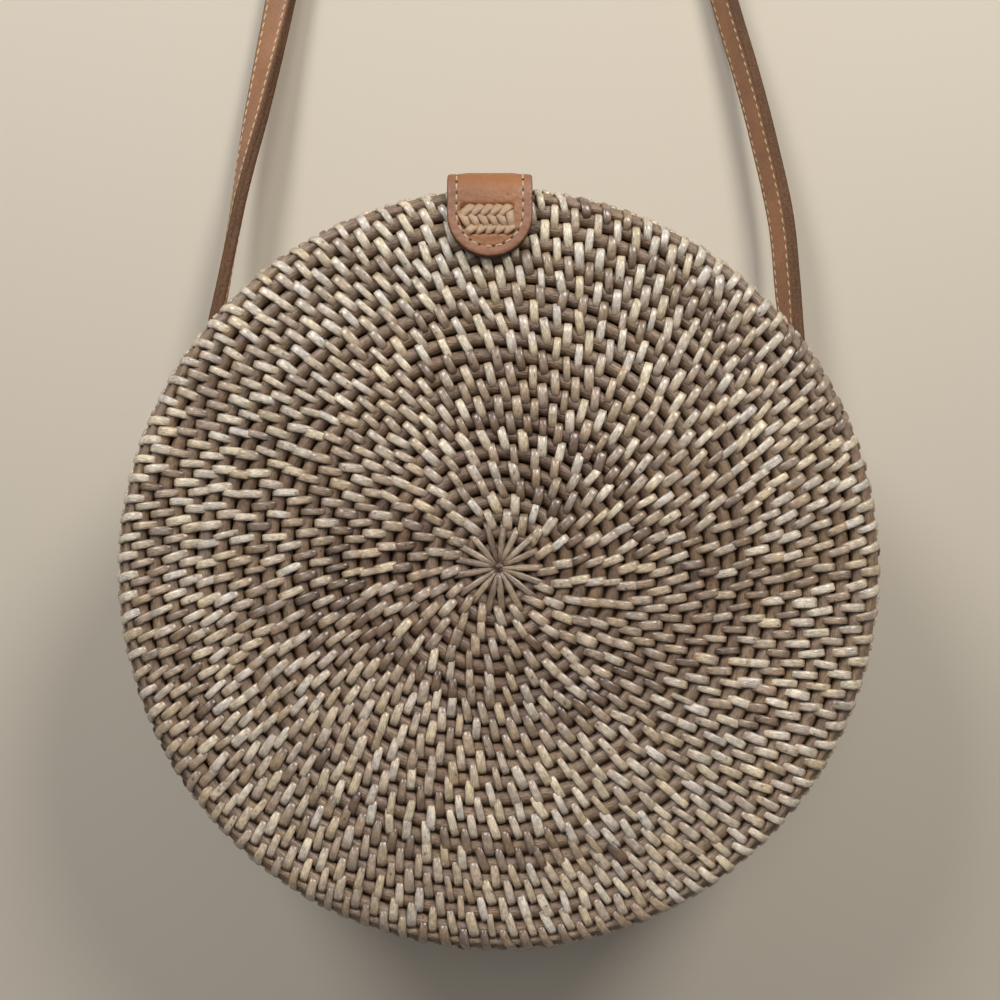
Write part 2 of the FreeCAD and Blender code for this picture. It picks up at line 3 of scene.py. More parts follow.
import bpy
import numpy as np
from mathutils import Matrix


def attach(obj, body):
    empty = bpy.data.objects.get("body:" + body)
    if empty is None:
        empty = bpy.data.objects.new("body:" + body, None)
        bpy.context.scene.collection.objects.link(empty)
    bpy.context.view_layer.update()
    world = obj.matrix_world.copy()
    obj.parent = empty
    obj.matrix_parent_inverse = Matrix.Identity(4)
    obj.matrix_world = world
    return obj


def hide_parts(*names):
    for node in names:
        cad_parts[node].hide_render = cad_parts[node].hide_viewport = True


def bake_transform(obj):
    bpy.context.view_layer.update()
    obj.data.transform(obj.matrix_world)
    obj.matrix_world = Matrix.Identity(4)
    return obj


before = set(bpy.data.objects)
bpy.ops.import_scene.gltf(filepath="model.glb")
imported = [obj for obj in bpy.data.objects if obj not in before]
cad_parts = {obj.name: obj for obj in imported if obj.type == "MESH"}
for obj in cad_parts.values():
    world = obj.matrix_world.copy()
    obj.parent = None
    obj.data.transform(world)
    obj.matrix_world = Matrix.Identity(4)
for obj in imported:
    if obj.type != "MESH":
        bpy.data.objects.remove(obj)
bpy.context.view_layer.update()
scene = bpy.context.scene


# Stage: a plain pale floor, a lamp from the upper right, one from the upper left and a weak one from above,
# and a camera that looks almost straight down at the bag as it lies on its back.
def srgb(red, green, blue):
    """A colour of 0 to 255 display values as linear RGBA: ((c / 255 + 0.055) / 1.055) ** 2.4."""
    return [((c / 255 + 0.055) / 1.055) ** 2.4 for c in (red, green, blue)] + [1.0]


def fill_inputs(node, inputs):
    """Links each input of a node that is given as a socket, and sets any other."""
    for key, value in inputs.items():
        if isinstance(value, bpy.types.NodeSocket):
            node.id_data.links.new(value, node.inputs[key])
        else:
            node.inputs[key].default_value = value


def new_material(name):
    """A node material and its Principled shader."""
    material = bpy.data.materials.new(name)
    material.use_nodes = True
    return material, material.node_tree.nodes["Principled BSDF"]


def place_object(name, data):
    """A new object in the scene."""
    placed = bpy.data.objects.new(name, data)
    scene.collection.objects.link(placed)
    return placed


floor_reach, floor_drop = 3.0, 0.0002
floor_corners = np.array([(-1, -1, 0), (1, -1, 0), (1, 1, 0), (-1, 1, 0)]) * floor_reach
floor_mesh = bpy.data.meshes.new("floor")
floor_mesh.from_pydata(floor_corners.tolist(), [], [(0, 1, 2, 3)])
floor = place_object("floor", floor_mesh)
floor.location.z = -floor_drop
floor_pale, shader = new_material("floor_pale")
fill_inputs(shader, {"Base Color": srgb(198, 187, 170), "Roughness": 0.75})
floor_mesh.materials.append(floor_pale)

lamps = {  # place in metres, width, power in watts and colour
    "key_light": ((0.34, 0.5, 0.58), 0.26, 3.8, (1.0, 0.985, 0.95)),
    "side_light": ((-0.38, 0.52, 0.58), 0.26, 3.4, (0.97, 0.985, 1.0)),
    "top_light": ((-0.1, 0.35, 1.4), 0.5, 2.7, (0.99, 0.99, 1.0)),
}
for name, (place, width, power, colour) in lamps.items():
    lamp = bpy.data.lights.new(name, "AREA")
    lamp.shape, lamp.size, lamp.energy, lamp.color = "DISK", width, power, colour
    light = place_object(name, lamp)
    light.location = place
    light.rotation_euler = (-light.location).to_track_quat("-Z", "Y").to_euler()
world = bpy.data.worlds.new("studio")
world.use_nodes = True
fill_inputs(world.node_tree.nodes["Background"], {"Color": (0.95, 0.97, 1.0, 1.0), "Strength": 0.16})
scene.world = world
scene.view_settings.view_transform = "Standard"

camera_data = bpy.data.cameras.new("camera")
camera_data.sensor_width, camera_data.lens = 36.0, 39.89
camera_data.clip_start = 0.01
camera_data.shift_y = 0.0583
camera = place_object("camera", camera_data)
camera.location = (0.0003, 0.0, 0.3728)
camera.rotation_euler = (math.radians(0.5), 0.0, 0.0)
scene.camera = camera


# Coils: each half of the bag is a basket of bare round cane, laid in rows from the middle of its face over
# the edge and down its wall. The rows lie close together, and the stitches hold them.
def add_node(tree, kind, inputs=None, **settings):
    """A shader node of a kind, with its settings and inputs."""
    node = tree.nodes.new("ShaderNode" + kind)
    for key, value in settings.items():
        setattr(node, key, value)
    fill_inputs(node, inputs or {})
    return node


def calc(tree, operation, *values):
    """The result of a sum on one, two or three values."""
    return add_node(tree, "Math", dict(enumerate(values)), operation=operation).outputs[0]


def spread(tree, value, low, high, to_low, to_high):
    """A value carried over from the range low to high into the range to_low to to_high, and held inside it."""
    ranges = {"From Min": low, "From Max": high, "To Min": to_low, "To Max": to_high}
    return add_node(tree, "MapRange", {"Value": value, **ranges}).outputs[0]


def noise(tree, place, scale, detail):
    """The value of a cloudy noise at a place."""
    return add_node(tree, "TexNoise", {"Vector": place, "Scale": scale, "Detail": detail}).outputs["Fac"]


def cells(tree, place, scale):
    """The distance of a place from the middle of the nearest of many scattered cells."""
    return add_node(tree, "TexVoronoi", {"Vector": place, "Scale": scale}).outputs["Distance"]


def bump(tree, height, strength, distance):
    """The normal of a surface that is raised by a height."""
    return add_node(tree, "Bump", {"Height": height, "Strength": strength, "Distance": distance}).outputs[0]


def ramp(tree, value, *stops):
    """A colour picked by a value. Each stop is a place and three display values, from left to right."""
    node = add_node(tree, "ValToRGB", {"Fac": value})
    elements = node.color_ramp.elements
    for element, stop in ((elements[0], stops[0]), (elements[1], stops[-1])):
        element.position, element.color = stop[0], srgb(*stop[1:])
    for stop in stops[1:-1]:
        elements.new(stop[0]).color = srgb(*stop[1:])
    return node.outputs["Color"]


def mix_colours(tree, share, first, second):
    """The first colour where the share is 0, going over to the second where it is 1."""
    return add_node(tree, "Mix", {"Factor": share, 6: first, 7: second}, data_type="RGBA").outputs[2]


def shade_colour(tree, colour, shade):
    """A colour times a shade."""
    return add_node(tree, "VectorMath", {0: colour, "Scale": shade}, operation="SCALE").outputs[0]


def object_place(tree):
    """The place on the piece, in metres."""
    return add_node(tree, "TexCoord").outputs["Object"]


def uv_place(tree):
    """The two parts of the piece's uv, the run along it and the share across it."""
    split = add_node(tree, "SeparateXYZ", {0: add_node(tree, "UVMap").outputs[0]})
    return split.outputs["X"], split.outputs["Y"]


def tone_here(tree):
    """The piece's tone attribute."""
    return add_node(tree, "Attribute", attribute_name="tone").outputs["Fac"]


def new_group(name, inputs, outputs):
    """A shader node group: its tree, the sockets that bring its inputs and the node that takes its outputs."""
    tree = bpy.data.node_groups.new(name, "ShaderNodeTree")
    for direction, sockets in (("INPUT", inputs), ("OUTPUT", outputs)):
        for label, kind in sockets.items():
            tree.interface.new_socket(label, in_out=direction, socket_type="NodeSocket" + kind)
    return tree, tree.nodes.new("NodeGroupInput").outputs, tree.nodes.new("NodeGroupOutput")


# The cane's skin: the tone picks its colour, which goes from grey to honey along a strip, and fibres, painted
# shade at the strips' edges, specks, broad clouds and small blotches shade it.
skin_outputs = {"Color": "Color", "Roughness": "Float", "Height": "Float"}
cane_skin, given, result = new_group(
    "cane_skin", {"Tone": "Float", "Along": "Float", "Across": "Float", "Fibres": "Float"}, skin_outputs
)
tree = cane_skin
cane_tint = ramp(
    tree, given["Tone"],
    (0.0, 66, 46, 33), (0.14, 100, 74, 55), (0.28, 133, 107, 83), (0.42, 152, 128, 104),
    (0.62, 182, 157, 130), (0.82, 210, 189, 161), (1.0, 228, 212, 187),
)
fibre_run = calc(tree, "MULTIPLY", given["Along"], 0.4)
fibre_side = calc(tree, "MULTIPLY", given["Across"], given["Fibres"])
fibre_place = add_node(tree, "CombineXYZ", {"X": fibre_run, "Y": fibre_side}).outputs[0]
fibre = noise(tree, fibre_place, 1.6, 4.0)
cane_place = object_place(tree)
cane_shade = spread(tree, fibre, 0.28, 0.72, 0.52, 1.3)
for value, *ranges in (
    (calc(tree, "ABSOLUTE", given["Across"]), 0.7, 1.0, 1.0, 0.5),  # painted shade at the strips' edges
    (cells(tree, cane_place, 300.0), 0.06, 0.16, 0.4, 1.0),  # specks
    (noise(tree, cane_place, 24.0, 2.0), 0.3, 0.7, 0.86, 1.1),  # clouds
    (noise(tree, cane_place, 420.0, 3.0), 0.36, 0.64, 0.72, 1.14),  # blotches
):
    cane_shade = calc(tree, "MULTIPLY", cane_shade, spread(tree, value, *ranges))
grey_cane, honey_cane = (0.98, 0.99, 1.09, 1.0), (1.04, 1.0, 0.9, 1.0)
hue_run = calc(tree, "MULTIPLY", given["Along"], 0.06)
hue = add_node(
    tree, "TexNoise", {"W": hue_run, "Scale": 1.0, "Detail": 1.0}, noise_dimensions="1D"
).outputs["Fac"]
hue_tint = mix_colours(tree, spread(tree, hue, 0.36, 0.64, 0.0, 1.0), grey_cane, honey_cane)
hued = add_node(tree, "VectorMath", {0: cane_tint, 1: hue_tint}, operation="MULTIPLY").outputs[0]
fill_inputs(result, {
    "Color": shade_colour(tree, hued, cane_shade),
    "Roughness": spread(tree, fibre, 0.3, 0.7, 0.5, 0.28),
    "Height": fibre,
})


def cane_material(name, fibres, dullness, relief, varnish):
    """Cane whose uv is (millimetres along, share across), with a tone attribute and raised fibres.

    The dullness is added to the roughness: split cane keeps its hard skin, the cane of the coil is bare.
    The varnish is a clear coat, which lies thicker on the stitches.
    """
    material, shader = new_material(name)
    tree = shader.id_data
    along, across = uv_place(tree)
    skin = add_node(
        tree, "Group", {"Tone": tone_here(tree), "Along": along, "Across": across, "Fibres": fibres},
        node_tree=cane_skin,
    ).outputs
    fill_inputs(shader, {
        "Base Color": skin["Color"],
        "Roughness": calc(tree, "ADD", skin["Roughness"], dullness),
        "Normal": bump(tree, skin["Height"], relief, 0.0004),
        "Coat Weight": varnish,
        "Coat Roughness": 0.25,
    })
    return material


def grid_faces(rows, columns, wrap_rows=False, wrap_columns=False):
    """Quads of a grid of points counted row by row; a wrapped direction joins its last line to its first."""
    row, column = np.meshgrid(
        np.arange(rows if wrap_rows else rows - 1),
        np.arange(columns if wrap_columns else columns - 1),
        indexing="ij",
    )
    row, column = row.ravel(), column.ravel()
    next_row, next_column = (row + 1) % rows, (column + 1) % columns
    corners = [(row, column), (next_row, column), (next_row, next_column), (row, next_column)]
    return np.stack([r * columns + c for r, c in corners], axis=1)


def join_parts(parts):
    """Points, quads, uv and tone of many parts as those of one mesh."""
    points, faces, uv, tone = zip(*parts)
    starts = np.cumsum([0] + [each.size // 3 for each in points])
    return (
        np.concatenate([each.reshape(-1, 3) for each in points]),
        np.concatenate([each + start for each, start in zip(faces, starts)]),
        np.concatenate([each.reshape(-1, 2) for each in uv]),
        np.concatenate([np.broadcast_to(t, p.shape[:-1]).ravel() for t, p in zip(tone, points)]),
    )


def add_piece(name, material, body, slot, points, faces, uv=None, tone=None):
    """A smooth mesh piece from whole arrays: points in metres, quads, and a uv pair and tone for each point.

    The faces are all turned over where six times the volume, the sum of p0 . (p1 x p2 + p2 x p3), is negative.
    """
    size = points.shape[:-1]
    points = points.reshape(-1, 3)
    p0, p1, p2, p3 = (points[faces[:, k]] for k in range(4))
    if (p0 * (np.cross(p1, p2) + np.cross(p2, p3))).sum() < 0:
        faces = faces[:, ::-1]
    mesh = bpy.data.meshes.new(name)
    mesh.from_pydata(points.tolist(), [], faces.tolist())
    mesh.polygons.foreach_set("use_smooth", np.ones(len(faces), bool))
    if uv is not None:
        layer = mesh.uv_layers.new(name="UVMap")
        layer.data.foreach_set("uv", np.asarray(uv, np.float32).reshape(-1, 2)[faces.ravel()].ravel())
    if tone is not None:
        values = mesh.attributes.new("tone", "FLOAT", "POINT")
        values.data.foreach_set("value", np.broadcast_to(tone, size).astype(np.float32).ravel())
    mesh.materials.append(material)
    piece = place_object(name, mesh)
    if body:
        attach(piece, body)
    return piece


full_turn = 2 * math.pi
face_flat, edge_round, bag_depth = 97.5, 5.0, 80.0  # all lengths from here on are in millimetres
wall_radius = face_flat + edge_round


def half_shell(distance, angle, height, front):
    """Points on a half, from the distance along its profile, the angle round it and the height above its skin.

    The profile is flat, then a quarter round, and then the wall: turn = clip((distance - flat) / round, 0,
    pi / 2), radius = min(distance, flat) + (round + height) sin(turn), depth = round (1 - cos(turn)) +
    max(distance - flat - round pi / 2, 0) - height cos(turn). The front half's depth goes down from the
    bag's depth, the back half's goes up from 0.
    """
    turn = np.clip((distance - face_flat) / edge_round, 0, math.pi / 2)
    radius = np.minimum(distance, face_flat) + (edge_round + height) * np.sin(turn)
    past_round = np.maximum(distance - face_flat - edge_round * math.pi / 2, 0)
    depth = edge_round * (1 - np.cos(turn)) + past_round - height * np.cos(turn)
    level = bag_depth - depth if front else depth
    return np.stack([radius * np.cos(angle), radius * np.sin(angle), level], axis=-1) * 0.001


core_cane = cane_material("core_cane", fibres=30.0, dullness=0.1, relief=0.8, varnish=0.25)
face_rows, face_pitch = 24, 4.316
wall_rows, wall_pitch, wall_start = 7, 4.7, 104.4
row_radius = 101.5  # of the middle of the wall's cane
row_centres = np.concatenate([
    (np.arange(face_rows) + 0.2) * face_pitch, wall_start + np.arange(wall_rows) * wall_pitch
])
row_pitches = np.repeat([face_pitch, wall_pitch], [face_rows, wall_rows])
coil_radius, coil_sunk, coil_sides = 1.92, 2.75, 10
steps_per_mm, least_steps = 1.6, 24


def coil_half(side, front, rng):
    """The rows of one half as rings with a round section.

    Three waves round each ring, 0.5 cos(3 t + a) + 0.3 cos(7 t + b) + 0.2 cos(13 t + c) with random a, b, c,
    vary its radius by 0.06, its place by 0.1 and its tone by 0.08. The tone is darker towards the middle.
    """
    around = np.arange(coil_sides) / coil_sides * full_turn
    parts = []
    for centre in row_centres:
        ring_radius = min(centre, row_radius)
        steps = max(int(ring_radius * steps_per_mm), least_steps)
        angle = np.arange(steps) / steps * full_turn
        waves = np.cos(np.outer(angle, [3, 7, 13]) + rng.uniform(0, 6.28, 3)) @ np.array([0.5, 0.3, 0.2])
        bar = coil_radius + 0.06 * waves[:, None]
        along = centre + 0.1 * np.roll(waves, 5)[:, None] + bar * np.cos(around)
        points = half_shell(along, angle[:, None], bar * np.sin(around) - coil_sunk, front)
        uv = np.stack(np.broadcast_arrays(angle[:, None] * ring_radius, around * 0.1), axis=-1)
        tone = np.interp(centre, [20, 90], [0.22, 0.36]) + 0.08 * np.roll(waves, 11) + rng.normal(0, 0.03)
        parts.append((points, grid_faces(steps, coil_sides, True, True), uv, tone[:, None]))
    coils = add_piece(side + "_coils", core_cane, side + "_half", "coiled_cane", *join_parts(parts))
    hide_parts(side + "_face", side + "_wall")


weave_rng = {"back": np.random.default_rng(11), "front": np.random.default_rng(23)}
for side, rng in weave_rng.items():
    coil_half(side, side == "front", rng)


# Stitches: long flat strips of varnished split cane, sewn over each row of the coil and into the row before,
# in brick order and leaning counter-clockwise outward. A star of long spokes starts the coil at its middle.
strip_across = np.array([-1.0, -0.78, -0.32, 0.32, 0.78, 1.0])
strip_below = np.array([-1.0, -0.17, 0.0, 0.0, -0.17, -1.0])
strip_marks = 11.0


def strips(place, along, aside, height, heading, half_width, thick, roll=0.0):
    """Closed strips with a domed top that follow lines on a surface: their points, quads and uv.

    along, aside and height are (strips, stations) arrays on the surface that place maps to space. A section of
    six points stands on each station: with w, the share across times half the width, the heading g of the
    strip from the along direction and the roll q, a point is at along - w sin(g), aside + w cos(g) and
    height + (share below) thick + w tan(q). The uv is (run, share across), and each strip's run starts a
    little on from the one before, so that no two strips have the same marks.
    """
    count, stations = along.shape
    sides = len(strip_across)
    height, width, heading, roll = (
        np.broadcast_to(values, along.shape)[..., None] for values in (height, half_width, heading, roll)
    )
    width = width * strip_across
    points = place(
        along[..., None] - width * np.sin(heading),
        aside[..., None] + width * np.cos(heading),
        height + strip_below * thick + width * np.tan(roll),
    )
    steps = np.hypot(np.diff(along, axis=1), np.diff(aside, axis=1))
    run = np.pad(np.cumsum(steps, axis=1), ((0, 0), (1, 0))) + strip_marks * np.arange(count)[:, None]
    uv = np.stack(np.broadcast_arrays(run[..., None], strip_across), axis=-1)
    ends = np.array([[0, 1, 2, 3], [0, 3, 4, 5], [3, 2, 1, 0], [5, 4, 3, 0]])
    ends[2:] += (stations - 1) * sides
    one = np.concatenate([grid_faces(stations, sides, wrap_columns=True), ends])
    faces = (one + np.arange(count)[:, None, None] * stations * sides).reshape(-1, 4)
    return points, faces, uv


stitch_cane = cane_material("stitch_cane", fibres=4.0, dullness=0.0, relief=0.8, varnish=1.0)
spoke_count, first_row = 17, 3  # the spokes cover the rows before the first stitched one
edge_row, corner_row, rim_row = 23, 24, 30
stitch_counts = [17, 20, 26, 29, 33, 42, 56, 56, 56, 56, 57, 64, 72, 74, 82, 96, 99, 99, 99] + [111] * 9
stitch_lean, stitch_thick = 16, 0.7
# A stitch's stations in pitches from its row, and its height, share of the width and painted shade at each of
# them.
stations = np.array([-1.12, -1.09, -1.0, -0.64, -0.16, 0.24, 0.46, 0.52])
stitch_arch = np.array([-2.4, -1.1, -0.6, -0.08, 0.14, -0.1, -0.85, -2.4])
stitch_taper = np.array([0.74, 0.8, 0.88, 1.0, 1.03, 1.0, 0.92, 0.84])
# Painted shade: these tone offsets darken both ends of a stitch, where it dives under the coil.
painted_end_shade = np.array([-0.4, -0.32, -0.2, 0.0, 0.06, 0.0, -0.22, -0.4])
# Room for the keeper on the back half's wall, and for the hinge lashings, which stand at both sides of x = 0.
keeper_angle, keeper_along, keeper_room = 1.594, 125.6, 8.4
lashing_x, lashing_room = 14.0, 7.2
# How far single stitches stray in reach, aside, in depth, width, lean and roll, and how their tones drift.
reach_spread, aside_spread, sink_spread, width_spread = 0.03, 0.12, 0.22, 0.09
lean_spread, roll_spread = math.radians(4.5), math.radians(5)
drift_radii, drift_tones = [15, 45, 75], [-0.18, -0.12, 0.06]
# Painted shade: the stitches' tones are darker away from the angle the light comes from, fully so beyond this
# radius.
lit_angle, far_painted_shade, full_shade_radius = 0.8, 0.15, 60
darkest_stitch, darkest_end = 0.22, 0.05
row_marks, smoothing_passes = 173.0, 16


def gap_ahead(angle):
    """The angle from each one of a round of angles to the next."""
    return (np.roll(angle, -1) - angle) % full_turn


def from_lashing(angle):
    """Distance along the rim from the nearer hinge lashing, with 99 more on the tab's side, which has none."""
    return np.abs(np.abs(wall_radius * np.cos(angle)) - lashing_x) + 99 * (np.sin(angle) > 0)


def stitch_angles(rng, spoke_angles):
    """Angles of the stitches of each row, from the one round the spokes on.

    A row's stitches stand midway between those of the row before, moved on by the lean. Where the round has
    grown too wide, new ones are put in at even steps from a random start. Then each pass moves every stitch by
    a quarter of the difference between the gaps at its two sides.
    """
    angles = [spoke_angles]
    for centre, pitch, wanted in zip(row_centres[first_row:], row_pitches[first_row:], stitch_counts):
        middle = angles[-1] + gap_ahead(angles[-1]) / 2
        middle = middle + pitch * math.tan(math.radians(stitch_lean)) / min(centre, row_radius)
        extra = wanted - len(middle)
        chosen = ((np.arange(extra) + rng.random()) / max(extra, 1) * len(middle)).astype(int)
        middle = np.sort(np.concatenate([middle, middle[chosen] + gap_ahead(middle)[chosen] / 2]) % full_turn)
        for _ in range(smoothing_passes if extra else 0):
            ahead = gap_ahead(middle)
            middle = middle + 0.25 * (ahead - np.roll(ahead, 1))
        angles.append(middle)
    return angles[1:]


def strip_tones(rng, count):
    """Tones of neighbouring stitches: one cane strip makes a run of 3 to 15 of them in about one tone.

    Some strips are darker and make shorter runs, and a few single stitches are stained.
    """
    darker_share, stained_share, stained_tone = 0.18, 0.008, 0.2
    runs = rng.integers(3, 16, count // 3 + 2)
    base = np.clip(rng.normal(0.86, 0.12, len(runs)), 0.45, 1.05)
    darker = rng.random(len(runs)) < darker_share
    base = np.where(darker, rng.uniform(0.32, 0.48, len(runs)), base)
    runs = np.where(darker, np.minimum(runs, 6), runs)
    tones = np.repeat(base, runs)[:count] + rng.normal(0, 0.08, count)
    return np.where(rng.random(count) < stained_share, stained_tone, tones)


def stitch_half(side, front, rng):
    """The stitches and spokes of one half; returns the angles of its last row, from which the rim goes on.

    A stitch's stations lie along the profile at its row's centre + station x pitch, shorter near the middle of
    the face, and aside by tan(lean) x that distance. The edge row is longer and the corner row shorter, so
    that they bend over the edge together; the last row stops at the lashings, and stitches round the keeper lie
    1 mm lower. A stitch's tone is darker at both ends, as painted shade where it dives under the coil. The
    tones drift from dark to light from the middle outward, and away from the angle the light comes from (0.8)
    they are darker, as painted shade, by 0.15 x min(centre / 60, 1) x ((1 - cos(angle - 0.8)) / 2) cubed.
    """
    def beside(angle, least_radius):
        """A map to points that turns the distance aside into an angle at its own radius."""
        start = angle[:, None, None]
        return lambda t, x, h: half_shell(t, start + x / np.clip(t, least_radius, row_radius), h, front)

    spoke_angles = np.arange(spoke_count) / spoke_count * full_turn + rng.normal(0, 0.03, spoke_count)
    rows = stitch_angles(rng, spoke_angles)
    face_parts, wall_parts = [], []
    for row, angle in enumerate(rows, first_row):
        centre, pitch, each = row_centres[row], row_pitches[row], (len(angle), 1)
        inward = np.interp(centre, [15, 60], [0.84, 1.0]) + rng.normal(0, reach_spread, each)
        along = centre + stations * np.where(stations < 0, inward, 1.0) * pitch
        if row == edge_row:
            along = along + np.interp(stations, [-0.2, 0.52], [0.0, 0.75]) * pitch
        if row == corner_row:
            along = np.maximum(along, centre + (stations * 0.2 + 0.2) * pitch)
        if row == rim_row:
            lashed = from_lashing(angle)[:, None] < lashing_room
            along = np.where(lashed, np.minimum(along, centre), along)
        lean = np.radians(stitch_lean - 3 * (centre > 90)) + rng.normal(0, lean_spread, each)
        aside = np.tan(lean) * (along - centre + 0.375 * pitch) + rng.normal(0, aside_spread, each)
        height = stitch_arch - rng.random(each) * sink_spread
        if not front:
            from_keeper = np.hypot(row_radius * (angle[:, None] - keeper_angle) + aside, along - keeper_along)
            height = height - (from_keeper < keeper_room)
        width = np.interp(centre, [15, 50], [1.32, 1.24]) * (1 + rng.normal(0, width_spread, each))
        points, faces, uv = strips(
            beside(angle, 1.0), along, aside, height, lean, width * stitch_taper, stitch_thick,
            rng.normal(0, roll_spread, each),
        )
        uv = uv + [row_marks * (row - first_row), 0.0]
        drift = np.interp(centre, drift_radii, drift_tones)
        # Painted shade on the side of the face away from the light.
        shaded_side = ((1 - np.cos(angle - lit_angle)) / 2) ** 3
        drift = drift - far_painted_shade * min(centre / full_shade_radius, 1) * shaded_side
        # Painted shade darkens each stitch's two ends.
        tone = np.maximum(strip_tones(rng, len(angle)) + drift, darkest_stitch)[:, None] + painted_end_shade
        tone = np.maximum(tone, darkest_end)[..., None]
        (face_parts if row <= corner_row else wall_parts).append((points, faces, uv, tone))

    each = (spoke_count, 1)
    first = rng.uniform(0.5, 1.4, each)
    last = rng.uniform(11.6, 13.6, each)
    along = first + (last - first) * np.array([0.0, 0.04, 0.16, 0.4, 0.62, 0.82, 0.95, 1.0])
    height = np.array([-1.6, -0.4, -0.05, 0.0, 0.0, -0.1, -0.6, -2.0]) - rng.random(each) * 0.4
    points, faces, uv = strips(
        beside(spoke_angles, 0.9), along, np.zeros_like(along), height, 0.0, np.clip(along * 0.22, 0.4, 0.98),
        0.6, rng.normal(0, math.radians(3), each),
    )
    face_parts.append((points, faces, uv, rng.normal(0.44, 0.08, (spoke_count, 1, 1))))
    for label, parts in (("_face_stitches", face_parts), ("_wall_stitches", wall_parts)):
        add_piece(side + label, stitch_cane, side + "_half", "coiled_cane", *join_parts(parts))
    return rows[-1]


last_rows = {side: stitch_half(side, side == "front", rng) for side, rng in weave_rng.items()}


# Rims: the last coil of each half is a round cane of its own, wound all over with flat split cane. Every second
# turn of the winding reaches down into the wall and holds the rim to it; the lashings' places are left free.
rim_middle, rim_radius = 137.65, 2.5
rim_steps, rim_sides, rim_tone = 240, 12, 0.28
core_radius, core_thinner, thin_reach = 1.95, 0.3, 6.0
winding_room, winding_radius, winding_end = 6.6, 101.0, 10.5
winding_lean, winding_half_width, winding_thick = 0.12, 1.2, 0.55
long_reach, short_reach = -7.4, -2.2


def rim_half(side, front, seed, last_row):
    """The rim of one half: a round core, thinner at the lashings, and its winding.

    On the winding's own surface, u runs down the wall up to zero and then round the coil: turn = max(u, 0) / r,
    distance = middle + min(u, 0) + (r + h) sin(turn), height = h - (r + h) (1 - cos(turn)), where r is the
    rim's radius.
    """
    rng = np.random.default_rng(seed)
    body = side + "_half"

    def wound(u, angle, h):
        """Points on the winding's surface, by the formula above."""
        turn = np.maximum(u, 0) / rim_radius
        distance = rim_middle + np.minimum(u, 0) + (rim_radius + h) * np.sin(turn)
        return half_shell(distance, angle, h - (rim_radius + h) * (1 - np.cos(turn)), front)

    angle = np.arange(rim_steps)[:, None] / rim_steps * full_turn
    around = np.arange(rim_sides) / rim_sides * full_turn
    bar = core_radius - core_thinner * np.exp(-(from_lashing(angle) / thin_reach) ** 4)
    core = half_shell(rim_middle + bar * np.sin(around), angle, bar * np.cos(around) - rim_radius, front)
    add_piece(
        side + "_rim_core", core_cane, body, "coiled_cane", core, grid_faces(rim_steps, rim_sides, True, True),
        np.stack(np.broadcast_arrays(angle * 100, around * 0.1), axis=-1), rim_tone,
    )

    turns = np.concatenate([last_row + gap_ahead(last_row) / 2, last_row])
    reach = np.repeat([long_reach, short_reach], len(last_row))
    clear = from_lashing(turns) > winding_room
    turns, reach = turns[clear], reach[clear]
    each = (len(turns), 1)
    along = np.concatenate([
        reach[:, None] * (1 - np.array([0.0, 0.06, 0.22, 0.6, 1.0])),
        np.tile(np.linspace(0, winding_end, 9)[1:], each),
    ], axis=1)
    dip = np.concatenate([[-2.2, -0.9, -0.25, -0.1], np.zeros(8), [-0.9]])
    aside = rng.normal(0, 0.1, each) + winding_lean * (along + 4)
    height = dip - rng.random(each) * 0.12
    width = winding_half_width * (1 + rng.normal(0, 0.05, each))
    start = turns[:, None, None]
    points, faces, uv = strips(
        lambda u, x, h: wound(u, start + x / winding_radius, h),
        along, aside, height, winding_lean, width, winding_thick,
    )
    tone = strip_tones(rng, len(turns))[:, None, None]
    winding = add_piece(side + "_rim_winding", stitch_cane, body, "coiled_cane", points, faces, uv, tone)
    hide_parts(side + "_rim_coil")


for side, seed in (("back", 12), ("front", 24)):
    rim_half(side, side == "front", seed, last_rows[side])


# Hinge lashings: two windings of thin round cane tie the rims together at the bottom, so that the front half
# opens about them. They keep their CAD shapes; fine fibres run along the strands.
def stretched_noise(tree, stretch, detail):
    """A noise that is drawn out along the direction with the smallest stretch."""
    drawn_out = add_node(tree, "Mapping", {"Vector": object_place(tree), "Scale": stretch}).outputs[0]
    return noise(tree, drawn_out, 1.0, detail)


def dress_nodes(material, *names):
    """Gives the material to nodes that keep their CAD shapes."""
    for name in names:
        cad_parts[name].material_slots[0].material = material


lashing_cane, shader = new_material("lashing_cane")
tree = shader.id_data
strand = stretched_noise(tree, (900.0, 90.0, 90.0), 4.0)
fill_inputs(shader, {
    "Base Color": ramp(tree, strand, (0.3, 112, 82, 52), (0.55, 158, 126, 84), (0.8, 186, 158, 112)),
    "Roughness": 0.45,
    "Normal": bump(tree, strand, 0.4, 0.0002),
})
dress_nodes(lashing_cane, "hinge_lashing_left", "hinge_lashing_right")


# Cloth linings: one brown cotton dish in each half, glued to the cane, with a rolled hem below the rim.
# The cloth is a plain weave of crossing threads, about a millimetre apart.
lining_cotton, shader = new_material("lining_cotton")
tree = shader.id_data
cloth_place = object_place(tree)
threads = 0.0
for direction in ("X", "Y", "Z"):
    wave = add_node(
        tree, "TexWave", {"Vector": cloth_place, "Scale": 320.0, "Distortion": 0.6}, bands_direction=direction
    )
    threads = calc(tree, "ADD", wave.outputs["Fac"], threads)
crossing = spread(tree, threads, 0.0, 3.0, 0.0, 0.3)
cloth_wear = spread(tree, noise(tree, cloth_place, 60.0, 4.0), 0.3, 0.7, 0.53, 0.69)
cloth_tone = calc(tree, "ADD", crossing, cloth_wear)
fill_inputs(shader, {
    "Base Color": ramp(tree, cloth_tone, (0.25, 92, 66, 46), (0.7, 128, 97, 70), (1.0, 150, 118, 88)),
    "Roughness": 0.9,
    "Sheen Weight": 0.25,
    "Normal": bump(tree, crossing, 0.5, 0.0003),
})
lining_steps, lining_floor = 168, 5.05
